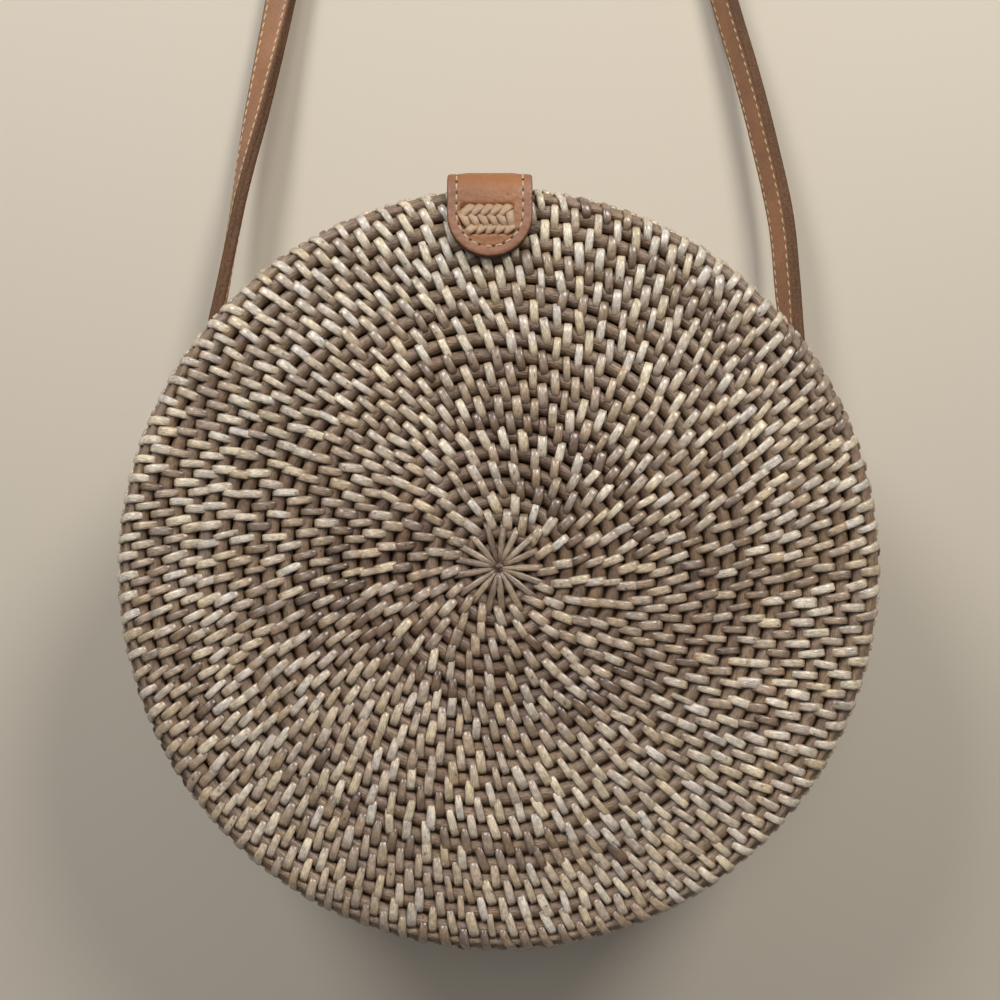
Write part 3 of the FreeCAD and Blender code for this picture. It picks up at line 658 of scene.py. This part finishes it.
lining_profile = np.array([  # radius and level, from the middle of the cloth to its hem and back behind it
    (0.02, 5.8), (0.2, 5.8), (2, 5.8), (30, 5.8), (60, 5.8), (80, 5.8), (90, 5.85), (93.6, 6.3), (95.6, 7.9),
    (96.4, 10.4), (96.5, 14), (96.5, 20), (96.5, 27), (96.5, 32.2), (96.2, 32.9), (96.3, 33.7), (96.8, 34.1),
    (97.25, 33.6), (97.3, 30), (97.3, 20), (97.3, 9.5), (96.6, 6.8), (94.6, 5.4), (88, 5.05), (60, 5.05),
    (2, 5.05), (0.02, 5.05),
])


def lining_half(side, front):
    """A dish turned from the closed profile, with slight puckers of the wall and waves of the floor.

    The wall is drawn in by 0.1 |sin(23 t) sin(9 t + 1)|, and the floor is raised by
    0.12 sin(5 t) sin(radius / 9) squared, but never below the cane.
    """
    angle = np.arange(lining_steps)[:, None] / lining_steps * full_turn
    profile_radius, profile_level = lining_profile.T
    pucker = 0.1 * np.sin(23 * angle) * np.sin(9 * angle + 1) * (profile_radius > 92)
    radius = profile_radius - np.abs(pucker)
    level = profile_level + 0.12 * np.sin(5 * angle) * np.sin(profile_radius / 9.0) ** 2 * (profile_level < 6)
    level = np.maximum(level, lining_floor)
    level = bag_depth - level if front else level
    points = np.stack([radius * np.cos(angle), radius * np.sin(angle), level], axis=-1) * 0.001
    piece = add_piece(
        side + "_lining_cloth", lining_cotton, side + "_half", "lining_cloth", points,
        grid_faces(lining_steps, len(lining_profile), True, True),
    )
    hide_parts(side + "_lining")


lining_half("back", False)
lining_half("front", True)


# Shoulder strap: two sewn leather layers with burnished edges, on edge as they lie, and riveted flat to both
# sides of the back half. Its middle is rolled up beyond the view and tied with a thin leather strip.

# The leather's skin: pores and fine creases, cloudy dye, and a mask that is 1 on the smooth face and 0 on the
# darker, rougher and flecked edge.
leather_skin, given, result = new_group(
    "leather_skin", {"Face": "Color", "Edge": "Color", "Mask": "Float", "Grain": "Float"}, skin_outputs
)
tree = leather_skin
leather_place = object_place(tree)
pores = cells(tree, leather_place, given["Grain"])
creases = noise(tree, leather_place, 1500.0, 3.0)
dye = spread(tree, noise(tree, leather_place, 95.0, 5.0), 0.3, 0.7, 0.84, 1.14)
fleck = spread(tree, creases, 0.36, 0.64, 0.66, 1.3)
edge_fleck = add_node(tree, "Mix", {"Factor": given["Mask"], 2: fleck, 3: 1.0}).outputs[0]
leather_shade = calc(tree, "MULTIPLY", dye, spread(tree, pores, 0.0, 0.35, 0.88, 1.0))
leather_shade = calc(tree, "MULTIPLY", leather_shade, edge_fleck)
surface = mix_colours(tree, given["Mask"], given["Edge"], given["Face"])
polish = spread(tree, creases, 0.3, 0.7, 0.4, 0.56)
edge_rough = spread(tree, given["Mask"], 0.0, 1.0, 0.25, 0.0)
fill_inputs(result, {
    "Color": shade_colour(tree, surface, leather_shade),
    "Roughness": calc(tree, "ADD", polish, edge_rough),
    "Height": calc(tree, "ADD", creases, pores),
})


def leather_material(name, face, edge, grain, relief, shine=0.5):
    """Leather with a face and an edge colour, chosen by the tone attribute, and the node of its skin."""
    material, shader = new_material(name)
    tree = shader.id_data
    skin = add_node(
        tree, "Group", {"Face": srgb(*face), "Edge": srgb(*edge), "Mask": tone_here(tree), "Grain": grain},
        node_tree=leather_skin,
    )
    fill_inputs(shader, {
        "Base Color": skin.outputs["Color"],
        "Roughness": skin.outputs["Roughness"],
        "Normal": bump(tree, skin.outputs["Height"], relief, 0.0002),
        "Specular IOR Level": shine,
    })
    return material, skin


def tube_faces(rings, sides):
    """Quads of a tube of rings. At its ends, each pair of neighbours is joined to the pair opposite."""
    first = np.arange(sides // 2 - 1)
    end = np.stack([first, first + 1, sides - 2 - first, sides - 1 - first], axis=1)
    return np.concatenate([
        grid_faces(rings, sides, wrap_columns=True), end, end[:, ::-1] + (rings - 1) * sides
    ])


# The strap's line: control points up the left run, six half turns of the roll, given by their middle, radius,
# first angle and angle turned through, and control points down the right run.
lying_level = 5.7
left_route = np.array([
    (-104.78, 10.18, 20.7), (-102.88, 20.0, 20.0), (-98.4, 42.0, 18.4), (-93.4, 68.0, 16.6),
    (-88.9, 94.0, 14.5), (-84.0, 126.0, 12.0), (-78.2, 157.0, 9.2), (-72.6, 188.0, 6.4),
    (-65.6, 226.0, 5.7), (-54.6, 263.0, 5.7),
])
half_turns = np.array([
    (0.69, 280.61, 50.0, 167.94, -180.0), (5.58, 279.57, 45.0, -12.06, -180.0),
    (-17.65, 284.53, 21.25, 167.94, -180.0), (23.91, 275.65, 21.25, 167.94, 180.0),
    (0.69, 280.61, 45.0, -12.06, 180.0), (5.58, 279.57, 50.0, 167.94, 102.06),
])
right_route = np.array([
    (20.0, 229.6, 5.7), (38.0, 229.6, 5.7), (60.0, 223.0, 5.7), (70.4, 206.0, 5.8), (75.2, 186.5, 6.4),
    (82.9, 158.0, 9.1), (89.3, 128.5, 11.4), (92.4, 111.0, 12.9), (93.5, 90.0, 14.5), (95.4, 66.0, 16.6),
    (98.4, 42.0, 18.4), (102.88, 20.0, 20.0), (104.78, 10.18, 20.7),
])
turn_points, outside_curve = 6, 0.966  # control points of a half turn lie a little outside its curve
turn_x, turn_y, turn_radius, turn_from, turn_by = half_turns.T[..., None]
turn_angle = np.radians(turn_from + turn_by * (np.arange(turn_points) + 0.5) / turn_points)
turn_radius = turn_radius / outside_curve
roll_route = np.stack([
    turn_x + turn_radius * np.cos(turn_angle),
    turn_y + turn_radius * np.sin(turn_angle),
    np.full(turn_angle.shape, lying_level),
], axis=-1).reshape(-1, 3)
route = np.concatenate([left_route, roll_route, right_route]) * 0.001
route_data = bpy.data.curves.new("strap_route", "CURVE")
route_data.dimensions, route_data.resolution_u = "3D", 10
spline = route_data.splines.new("NURBS")
spline.points.add(len(route) - 1)
spline.points.foreach_set("co", np.column_stack([route, np.ones(len(route))]).ravel())
spline.order_u = 3
spline.use_endpoint_u = True
route_object = place_object("strap_route", route_data)
route_mesh = bpy.data.meshes.new_from_object(
    route_object.evaluated_get(bpy.context.evaluated_depsgraph_get())
)
path = np.empty(len(route_mesh.vertices) * 3)
route_mesh.vertices.foreach_get("co", path)
path = path.reshape(-1, 3)
bpy.data.objects.remove(route_object)
bpy.data.meshes.remove(route_mesh)

# The band: a section of two layers with a groove for each seam is carried along the line. It stands upright,
# leans by the lean angle, which is given at places along the strap, and is rounded off at both ends.
walked = np.concatenate([[0], np.cumsum(np.linalg.norm(np.diff(path, axis=0), axis=1))]) * 1000
strap_length = walked[-1]
heading = np.gradient(path, axis=0)
heading /= np.linalg.norm(heading, axis=1)[:, None]
aside = np.cross(heading, [0.0, 0.0, 1.0])
aside /= np.linalg.norm(aside, axis=1)[:, None]
upward = np.cross(aside, heading)
lean_places = [0, 45, 80, 96, 111, 126, 141, 157, 172, 187, 200, 285]
lean_places += [strap_length - back for back in (300, 205, 80, 45, 0)]
lean_angles = [0, 0, 12, 17, 22, 34, 47, 56, 64, 73, 80, 0, 0, -20, -20, 0, 0]
lean = np.radians(np.interp(walked, lean_places, lean_angles))[:, None]
strap_up = np.cos(lean) * upward + np.sin(lean) * aside
strap_side = np.cos(lean) * aside - np.sin(lean) * upward
strap_section = np.array([
    (-2.0, 0.0), (-2.0, 1.6), (-1.97, 2.8), (-1.84, 3.4), (-1.95, 4.0), (-1.8, 4.6), (-1.3, 4.97), (-0.35, 5.0),
    (0.0, 4.82), (0.35, 5.0), (1.3, 4.97), (1.8, 4.6), (1.95, 4.0), (1.84, 3.4), (1.97, 2.8), (2.0, 1.6),
])
strap_section = np.concatenate([strap_section, -strap_section])
face_side, rounded_end = 1.82, 5.0
section_tone = np.where(np.abs(strap_section[:, 0]) > face_side, 1.0, 0.0)
nearest_end = np.minimum(walked, strap_length - walked)
tip = np.sqrt(np.clip(1 - (1 - np.clip(nearest_end / rounded_end, 0, 1)) ** 2, 0.04, 1))[:, None, None]
band = (
    path[:, None]
    + strap_side[:, None] * strap_section[:, 0, None] * 0.001
    + strap_up[:, None] * strap_section[:, 1, None] * 0.001 * tip
)
strap_leather, _ = leather_material("strap_leather", (150, 107, 77), (94, 65, 43), 700.0, 0.5, shine=0.3)
strap = add_piece(
    "strap_band", strap_leather, "back_half", "strap_leather", band, tube_faces(*band.shape[:2]),
    tone=section_tone,
)
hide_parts("strap_left_run", "strap_right_run", "strap_roll")

# The thread: waxed cream stitches in two lines on each face of the strap.
waxed_thread, shader = new_material("waxed_thread")
tree = shader.id_data
ply = add_node(
    tree, "TexWave", {"Vector": add_node(tree, "UVMap").outputs[0], "Scale": 1.1, "Distortion": 0.4},
    bands_direction="DIAGONAL",
).outputs["Fac"]
fill_inputs(shader, {
    "Base Color": ramp(tree, ply, (0.0, 176, 146, 104), (1.0, 226, 204, 166)),
    "Roughness": 0.6,
    "Normal": bump(tree, ply, 0.4, 0.0002),
})
thread_line, thread_groove, thread_step, thread_free = 3.4, 1.84, 3.0, 16.0
thread_slant, thread_turn, thread_half_width, thread_thick = 0.12, 0.08, 0.3, 0.42
thread_run = np.arange(thread_free, strap_length - thread_free, thread_step)
thread_stations = np.array([-1.15, -1.0, -0.5, 0.5, 1.0, 1.15])
thread_arch = np.array([-0.3, 0.1, 0.26, 0.26, 0.1, -0.3])
thread_along = np.tile(thread_run[:, None] + thread_stations, (4, 1))
thread_face = np.repeat([1.0, 1.0, -1.0, -1.0], len(thread_run))[:, None, None]
thread_across = np.repeat(np.array([1.0, -1.0, 1.0, -1.0]) * thread_line, len(thread_run))[:, None]


def on_strap(run, across, height):
    """Points on the strap's two faces: the path, side and up vectors are read at the run along the strap."""
    spot, out, up = (
        np.stack([np.interp(run, walked, field[:, k]) for k in range(3)], axis=-1)
        for field in (path, strap_side, strap_up)
    )
    outward = (thread_face * (thread_groove + height))[..., None]
    return spot + (out * outward + up * across[..., None]) * 0.001


points, faces, uv = strips(
    on_strap, thread_along, thread_across + thread_slant * np.sign(thread_stations), thread_arch, thread_turn,
    thread_half_width, thread_thick,
)
one_face = len(faces) // 2
faces = np.concatenate([faces[:one_face], faces[one_face:, ::-1]])
strap_thread = add_piece("strap_thread", waxed_thread, "back_half", "thread", points, faces, uv)

# The tie: a thin strip in a rounded square loop about the roll's upper side, with two loose ends on top.
tie_leather, _ = leather_material("tie_leather", (96, 62, 42), (70, 45, 32), 800.0, 0.4)
tie_x, tie_y, tie_z = 0.69, 327.6, 5.75
loop_half_y, loop_half_z, loop_square, loop_steps = 5.7, 5.4, 0.35, 48
loop = np.arange(loop_steps)[:, None] / loop_steps * full_turn
loop_y = tie_y + loop_half_y * np.sign(np.cos(loop)) * np.abs(np.cos(loop)) ** loop_square
loop_z = tie_z + loop_half_z * np.sign(np.sin(loop)) * np.abs(np.sin(loop)) ** loop_square
tie_across = np.array([-4.0, -3.4, 0.0, 3.4, 4.0, 3.4, 0.0, -3.4])
tie_out = np.array([0.0, 0.3, 0.34, 0.3, 0.0, -0.3, -0.3, -0.3])
tie_size = (loop_steps, len(tie_across))
tie_points = np.stack([
    tie_x + np.broadcast_to(tie_across, tie_size),
    loop_y + tie_out * np.cos(loop),
    loop_z + tie_out * np.sin(loop),
], axis=-1) * 0.001
tie = add_piece(
    "strap_tie_loop", tie_leather, "back_half", "tie_leather", tie_points, grid_faces(*tie_size, True, True),
    tone=1.0,
)
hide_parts("strap_tie")
tail_run = np.linspace(0, 1, 14)
tail_x = np.stack([2.5 + 14 * tail_run, -1.0 - 15 * tail_run])
tail_y = np.stack([328.0 + 5 * tail_run ** 2, 327.0 - 6 * tail_run ** 1.5])
tail_z = np.stack([11.9 + 0.9 * np.sin(np.pi * tail_run), 11.95 + 1.0 * np.sin(np.pi * tail_run)])
points, faces, uv = strips(
    lambda x, y, h: np.stack([x, y, h], axis=-1) * 0.001, tail_x, tail_y, tail_z,
    np.arctan2(np.gradient(tail_y, axis=1), np.gradient(tail_x, axis=1)), 2.0, 0.7,
)
tie_ends = add_piece("strap_tie_ends", tie_leather, "back_half", "tie_leather", points, faces, uv, tone=1.0)


# Closing tab: one leather piece of two sewn layers, riveted on the front half, bent over the edge and down the
# back half, with round ends.
tab_half_width, tab_tip_y, tab_flat, tab_drop, tab_left = 11.25, 81.9, 16.6, 62.0, 2.4
bend_radius, bend_level, bend_run = 4.0, 76.0, 5.6  # the run is what a bend of one radian takes up


def on_tab(x, run, height):
    """Points of the tab from x across it, the run from its tip and the height above the cane.

    It is flat at first, then bends through arc = clip((run - flat) / bend run, 0, pi / 2) at the bend's radius
    r + height, and hangs on the wall: y = tip + min(run, flat) + (r + height) sin(arc),
    z = bend's level + (r + height) cos(arc) - max(run - flat - bend run pi / 2, 0).
    """
    arc = np.clip((run - tab_flat) / bend_run, 0, math.pi / 2)
    y = tab_tip_y + np.minimum(run, tab_flat) + (bend_radius + height) * np.sin(arc)
    hung = np.maximum(run - tab_flat - bend_run * math.pi / 2, 0)
    z = bend_level + (bend_radius + height) * np.cos(arc) - hung
    return np.stack([x - tab_left, y, z], axis=-1) * 0.001


# The outline's points are a base line plus the half width in the direction out of it. It starts at the middle
# of the round tip, so that the ends of the tube close evenly.
tab_end = tab_flat + bend_run * math.pi / 2 + tab_drop
side_steps, end_steps = 96, 48
straight = tab_half_width + (np.arange(side_steps) + 0.5) / side_steps * (tab_end - 2 * tab_half_width)
round_end = (np.arange(end_steps) + 0.5) / end_steps * math.pi
side_ones, side_zeros = np.ones(side_steps), np.zeros(side_steps)
out_x = np.concatenate([side_ones, np.cos(round_end), -side_ones, -np.cos(round_end)])
out_run = np.concatenate([side_zeros, np.sin(round_end), side_zeros, -np.sin(round_end)])
base_run = np.concatenate([
    straight, np.full(end_steps, tab_end - tab_half_width), straight[::-1], np.full(end_steps, tab_half_width)
])
out_x, out_run, base_run = (np.roll(values, end_steps // 2) for values in (out_x, out_run, base_run))
# Rings of the tab, from the middle of its face over the seam's groove, round the edge and under it.
inset = np.concatenate([
    np.linspace(10.6, 2.9, 20), [2.7, 2.5, 2.3, 2.1, 1.5, 0.9, 0.5, 0.22, 0.06, 0.0, 0.0, 0.08, 0.0, 0.0],
    [0.1, 0.5, 2.0, 5.0, 8.0, 10.6],
])[:, None]
level = np.concatenate([
    np.full(20, 2.9), [2.86, 2.72, 2.86, 2.9, 2.9, 2.88, 2.82, 2.7, 2.5, 2.25, 1.62, 1.5, 1.38, 0.55],
    [0.44, 0.4, 0.4, 0.4, 0.4, 0.4],
])[:, None]
seam_ring, outer_rings, face_level = 21, 30, 2.69
tab_x = (tab_half_width - inset) * out_x
tab_run = base_run + (tab_half_width - inset) * out_run
outer = np.where(np.arange(len(inset)) < outer_rings, 1.0, 0.0)[:, None]
# The face swells inside the seam, by a smooth step s s (3 - 2 s).
swell_height, swell_from, swell_over = 0.28, 2.6, 3.0
swell = np.clip((inset - swell_from) / swell_over, 0, 1)
height = level + swell_height * outer * swell ** 2 * (3 - 2 * swell)
# The opening for the braid: a rectangle, cut round towards the tip, is sunk into the face.
opening_x, opening_run, opening_half_x, opening_half_run = -0.8, 9.7, 7.2, 4.0
opening_round, opening_depth, opening_slope = 8.1, 1.25, 0.5
opening = np.minimum(
    np.minimum(opening_half_x - np.abs(tab_x - opening_x), opening_half_run - np.abs(tab_run - opening_run)),
    opening_round - np.hypot(tab_x, tab_run - tab_half_width),
)
height = height - opening_depth * outer * np.clip(opening / opening_slope, 0, 1)
ring_x, ring_run = tab_x[seam_ring], tab_run[seam_ring]
seam_length = np.cumsum(np.hypot(np.diff(ring_x, append=ring_x[:1]), np.diff(ring_run, append=ring_run[:1])))

# The tab's face has a paler border outside the seam, and painted shade at each hole where the thread goes in.
seam_step, seam_inset = 2.7, 2.5
tab_face, tab_border, tab_edge, tab_hole_shade = (148, 97, 60), (141, 95, 67), (92, 60, 46), (52, 28, 22)
tab_leather, skin = leather_material("tab_leather", tab_face, tab_edge, 650.0, 0.7)
tree = skin.id_data
run_here, inset_here = uv_place(tree)
inside_border = spread(tree, inset_here, 2.0, 3.0, 0.0, 1.0)
face_colour = mix_colours(tree, inside_border, srgb(*tab_border), srgb(*tab_face))
between = calc(tree, "FRACT", calc(tree, "DIVIDE", run_here, seam_step))
hole_along = calc(tree, "COMPARE", between, 0.5, 0.13)
hole_across = calc(tree, "COMPARE", inset_here, seam_inset, 0.3)
hole = calc(tree, "MULTIPLY", hole_along, hole_across)
# Painted shade in the thread holes along the seam.
fill_inputs(skin, {"Face": mix_colours(tree, hole, face_colour, srgb(*tab_hole_shade))})
tab = add_piece(
    "tab_leather_piece", tab_leather, None, "tab_leather",
    on_tab(tab_x, tab_run, height), tube_faces(*tab_x.shape),
    np.stack(np.broadcast_arrays(seam_length, inset), axis=-1), level >= face_level,
)
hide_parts("tab_outer_leather", "tab_inner_leather", "tail_outer_leather", "tail_inner_leather")
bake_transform(tab)

seam_stations = np.array([-0.95, -0.8, -0.4, 0.4, 0.8, 0.95])
seam_arch = np.array([2.4, 2.85, 3.06, 3.06, 2.85, 2.4])
seam_free, seam_slant, seam_half_width, seam_thick = 1.5, 0.1, 0.24, 0.4
seam_run = np.arange(0.0, seam_length[-1] - seam_free, seam_step)[:, None] + seam_stations
seam_x, seam_along = (
    np.interp(seam_run, seam_length, line, period=seam_length[-1]) for line in (ring_x, ring_run)
)
seam_heading = np.arctan2(np.gradient(seam_along, axis=1), np.gradient(seam_x, axis=1)) + seam_slant
points, faces, uv = strips(
    on_tab, seam_x, seam_along, seam_arch, seam_heading, seam_half_width, seam_thick
)
tab_thread = add_piece("tab_thread", waxed_thread, None, "thread", points, faces, uv)
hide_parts("tab_stitching", "tail_stitching")
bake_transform(tab_thread)


# Braid: thin leather strips plaited in a zigzag of three rows, in the opening of the tab above its rivets.
# Each strip rises out of the row beside it and dives under the next; one more closes the right end.
plait_row = np.append(np.repeat([0, 1, 2], 5), 3)
plait_column = np.append(np.tile(np.arange(5), 3), 0)
plait_pitch = 2.45
middle_x = np.array([-6.0, -6.4, -4.7, 5.5])[plait_row] + plait_pitch * plait_column
middle_run = np.array([11.95, 9.5, 7.2, 9.8])[plait_row]
turned = np.radians(np.array([40.0, -58.0, 38.0, -82.0]))[plait_row]
half_length = np.array([2.7, 2.6, 2.2, 3.1])[plait_row]
braid_stations = np.array([-1.0, -0.92, -0.7, -0.3, 0.15, 0.6, 0.88, 1.0])
braid_arch = np.array([2.1, 2.7, 3.2, 3.5, 3.5, 3.3, 2.75, 1.9])
braid_width = np.array([0.95, 1.1, 1.3, 1.35, 1.35, 1.3, 1.1, 0.95])
braid_thick, braid_roll = 0.8, math.radians(-12)
braid_x = middle_x[:, None] + np.cos(turned)[:, None] * half_length[:, None] * braid_stations
braid_run = middle_run[:, None] + np.sin(turned)[:, None] * half_length[:, None] * braid_stations
points, faces, uv = strips(
    on_tab, braid_x, braid_run, braid_arch, turned[:, None], braid_width, braid_thick, braid_roll
)
# The strips' sides take the dark edge colour. This is their real cut edge, deepened as painted shade in the
# gaps between strips.
braid_leather, _ = leather_material("braid_leather", (172, 138, 106), (72, 47, 32), 900.0, 0.45)
braid_edge_and_shade = np.array([0.0, 0.8, 1.0, 1.0, 0.8, 0.0])
braid = add_piece(
    "tab_braid_strips", braid_leather, "front_half", "braid_leather", points, faces, uv, braid_edge_and_shade
)
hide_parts("tab_braid")


# Metal: aged brass rivets hold the strap and the tab, each with a washer inside. The flat button is a plated
# magnet in the tab's tail and a keeper plate on the back half. All of it keeps its CAD shapes.
aged_brass, shader = new_material("aged_brass")
tree = shader.id_data
patina = noise(tree, object_place(tree), 420.0, 5.0)
fill_inputs(shader, {
    "Base Color": ramp(tree, patina, (0.3, 120, 92, 52), (0.6, 176, 142, 84), (0.8, 200, 170, 112)),
    "Metallic": 1.0,
    "Roughness": spread(tree, patina, 0.0, 1.0, 0.5, 0.25),
})
dress_nodes(
    aged_brass, "strap_rivet_left", "strap_rivet_right", "strap_washer_left", "strap_washer_right",
    "tab_rivets", "tab_washers", "keeper_washer",
)
plated_steel, shader = new_material("plated_steel")
tree = shader.id_data
scratches = stretched_noise(tree, (60.0, 900.0, 900.0), 3.0)
fill_inputs(shader, {
    "Base Color": ramp(tree, scratches, (0.3, 170, 168, 162), (0.7, 205, 203, 198)),
    "Metallic": 1.0,
    "Roughness": spread(tree, scratches, 0.0, 1.0, 0.22, 0.42),
})
dress_nodes(plated_steel, "tail_magnet", "keeper_plate")
